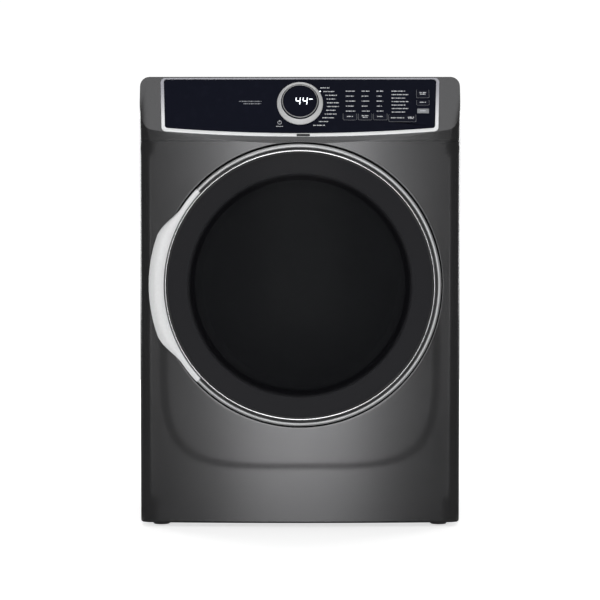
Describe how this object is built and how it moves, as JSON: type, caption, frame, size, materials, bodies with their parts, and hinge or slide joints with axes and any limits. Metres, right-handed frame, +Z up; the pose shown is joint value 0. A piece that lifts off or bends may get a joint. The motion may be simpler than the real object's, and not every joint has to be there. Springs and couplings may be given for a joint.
{
  "type": "clothes dryer",
  "caption": "Front-loading clothes dryer with a round glazed door, leaning control panel, turning drum, belt drive, heater, blower, lint filter, rear exhaust pipe and levelling feet.",
  "frame": {"origin": "on the floor, under the middle of the box that holds the closed machine", "axes": "+X to the machine's right seen from the front, -Y out of the front, +Z up"},
  "size_m": [0.686, 0.813, 0.965],
  "materials": {
    "front_paint": "charcoal metallic, satin clear coat",
    "body_paint": "dark grey, satin",
    "galvanised": "zinc-coated sheet",
    "stainless": "brushed",
    "chrome": "polished",
    "satin_silver": "satin silver",
    "gloss_black": "high gloss blue-black",
    "door_glass": "dark tinted",
    "bowl_glass": "clear",
    "moulded_black": "fine texture",
    "moulded_grey": "fine texture",
    "moulded_white": "fine texture",
    "rubber": "matte",
    "felt": "wool felt",
    "board": "solder mask",
    "motor_black": "black enamel"
  },
  "bodies": {
    "cabinet": {"base_pan": "galvanised", "rear_panel": "galvanised", "terminal_cover": "galvanised", "hinge_bracket": "galvanised", "front_bulkhead": "galvanised", "rear_bulkhead": "galvanised", "motor_mount": "galvanised", "exhaust_pipe": "galvanised", "heater_housing": "galvanised", "front_panel": "front_paint", "console_shell": "front_paint", "side_panel_left": "body_paint", "side_panel_right": "body_paint", "top_panel": "body_paint", "terminal_block": "moulded_white", "drum_lamp": "moulded_white", "console_trim": "satin_silver", "fascia": "gloss_black", "display_lens": "gloss_black", "control_board": "board", "door_catch": "moulded_black", "blower_housing": "moulded_grey", "lint_duct": "moulded_grey", "drive_belt": "rubber", "front_felt": "felt", "rear_felt": "felt", "motor": "motor_black"},
    "door": {"door_ring": "satin_silver", "door_handle": "satin_silver", "outer_glass": "door_glass", "door_frame": "moulded_black", "door_liner": "moulded_grey", "window_bowl": "bowl_glass", "door_seal": "rubber", "door_strike": "galvanised", "hinge_leaf": "galvanised"},
    "drum": {"drum": "stainless", "baffle_1": "moulded_grey", "baffle_2": "moulded_grey", "baffle_3": "moulded_grey"},
    "motor_shaft": {"motor_shaft": "galvanised", "blower_wheel": "moulded_grey"},
    "roller_left": {"roller_left": "rubber"},
    "roller_right": {"roller_right": "rubber"},
    "idler_arm": {"idler_arm": "galvanised"},
    "idler_pulley": {"idler_pulley": "moulded_grey"},
    "dial": {"dial": "chrome"},
    "lint_filter": {"lint_filter": "moulded_white"},
    "key_power": {"key_power": "gloss_black"},
    "key_temperature": {"key_temperature": "gloss_black"},
    "key_dryness": {"key_dryness": "gloss_black"},
    "key_time": {"key_time": "gloss_black"},
    "key_options": {"key_options": "gloss_black"},
    "key_extra": {"key_extra": "gloss_black"},
    "key_cancel": {"key_cancel": "gloss_black"},
    "key_start": {"key_start": "gloss_black"},
    "foot_front_left": {"foot_front_left": "rubber"},
    "foot_front_right": {"foot_front_right": "rubber"},
    "foot_rear_left": {"foot_rear_left": "rubber"},
    "foot_rear_right": {"foot_rear_right": "rubber"}
  },
  "joints": [
    {"name": "door_hinge", "type": "hinge", "parent": "cabinet", "child": "door", "pos_m": [0.291, -0.3755, 0.52], "axis": [0, 0, 1], "range_deg": [0, 160]},
    {"name": "drum_spin", "type": "hinge", "parent": "cabinet", "child": "drum", "pos_m": [0, 0, 0.52], "axis": [0, 1, 0], "continuous": true},
    {"name": "motor_spin", "type": "hinge", "parent": "cabinet", "child": "motor_shaft", "pos_m": [-0.06, 0, 0.115], "axis": [0, 1, 0], "continuous": true},
    {"name": "roller_left_spin", "type": "hinge", "parent": "cabinet", "child": "roller_left", "pos_m": [-0.19691, 0.266, 0.23879], "axis": [0, 1, 0], "continuous": true},
    {"name": "roller_right_spin", "type": "hinge", "parent": "cabinet", "child": "roller_right", "pos_m": [0.19691, 0.266, 0.23879], "axis": [0, 1, 0], "continuous": true},
    {"name": "idler_swing", "type": "hinge", "parent": "cabinet", "child": "idler_arm", "pos_m": [-0.006, -0.024, 0.104], "axis": [0, 1, 0], "range_deg": [0, 15], "stiffness_Nm_per_rad": 1.5, "springref_deg": -17.19},
    {"name": "idler_spin", "type": "hinge", "parent": "idler_arm", "child": "idler_pulley", "pos_m": [0.05317, -0.014, 0.1528], "axis": [0, 1, 0], "continuous": true},
    {"name": "dial_turn", "type": "hinge", "parent": "cabinet", "child": "dial", "pos_m": [0, -0.33639, 0.90642], "axis": [0, -0.9272, 0.3746], "continuous": true},
    {"name": "lint_filter_slide", "type": "slide", "parent": "cabinet", "child": "lint_filter", "axis": [0, 0, -1], "range_m": [-0.2, 0]},
    {"name": "key_power_press", "type": "slide", "parent": "cabinet", "child": "key_power", "axis": [0, 0.9272, -0.3746], "range_m": [0, 0.0008], "stiffness_N_per_m": 400, "springref_m": -0.001},
    {"name": "key_temperature_press", "type": "slide", "parent": "cabinet", "child": "key_temperature", "axis": [0, 0.9272, -0.3746], "range_m": [0, 0.0008], "stiffness_N_per_m": 400, "springref_m": -0.001},
    {"name": "key_dryness_press", "type": "slide", "parent": "cabinet", "child": "key_dryness", "axis": [0, 0.9272, -0.3746], "range_m": [0, 0.0008], "stiffness_N_per_m": 400, "springref_m": -0.001},
    {"name": "key_time_press", "type": "slide", "parent": "cabinet", "child": "key_time", "axis": [0, 0.9272, -0.3746], "range_m": [0, 0.0008], "stiffness_N_per_m": 400, "springref_m": -0.001},
    {"name": "key_options_press", "type": "slide", "parent": "cabinet", "child": "key_options", "axis": [0, 0.9272, -0.3746], "range_m": [0, 0.0008], "stiffness_N_per_m": 400, "springref_m": -0.001},
    {"name": "key_extra_press", "type": "slide", "parent": "cabinet", "child": "key_extra", "axis": [0, 0.9272, -0.3746], "range_m": [0, 0.0008], "stiffness_N_per_m": 400, "springref_m": -0.001},
    {"name": "key_cancel_press", "type": "slide", "parent": "cabinet", "child": "key_cancel", "axis": [0, 0.9272, -0.3746], "range_m": [0, 0.0008], "stiffness_N_per_m": 400, "springref_m": -0.001},
    {"name": "key_start_press", "type": "slide", "parent": "cabinet", "child": "key_start", "axis": [0, 0.9272, -0.3746], "range_m": [0, 0.0008], "stiffness_N_per_m": 400, "springref_m": -0.001},
    {"name": "foot_front_left_level", "type": "slide", "parent": "cabinet", "child": "foot_front_left", "axis": [0, 0, -1], "range_m": [0, 0.02]},
    {"name": "foot_front_right_level", "type": "slide", "parent": "cabinet", "child": "foot_front_right", "axis": [0, 0, -1], "range_m": [0, 0.02]},
    {"name": "foot_rear_left_level", "type": "slide", "parent": "cabinet", "child": "foot_rear_left", "axis": [0, 0, -1], "range_m": [0, 0.02]},
    {"name": "foot_rear_right_level", "type": "slide", "parent": "cabinet", "child": "foot_rear_right", "axis": [0, 0, -1], "range_m": [0, 0.02]}
  ],
  "couplings": [
    {"joint": "motor_spin", "follows": "drum_spin", "ratio": 23.189},
    {"joint": "roller_left_spin", "follows": "drum_spin", "ratio": -8.0263},
    {"joint": "roller_right_spin", "follows": "drum_spin", "ratio": -8.0263},
    {"joint": "idler_spin", "follows": "drum_spin", "ratio": -15.45}
  ]
}
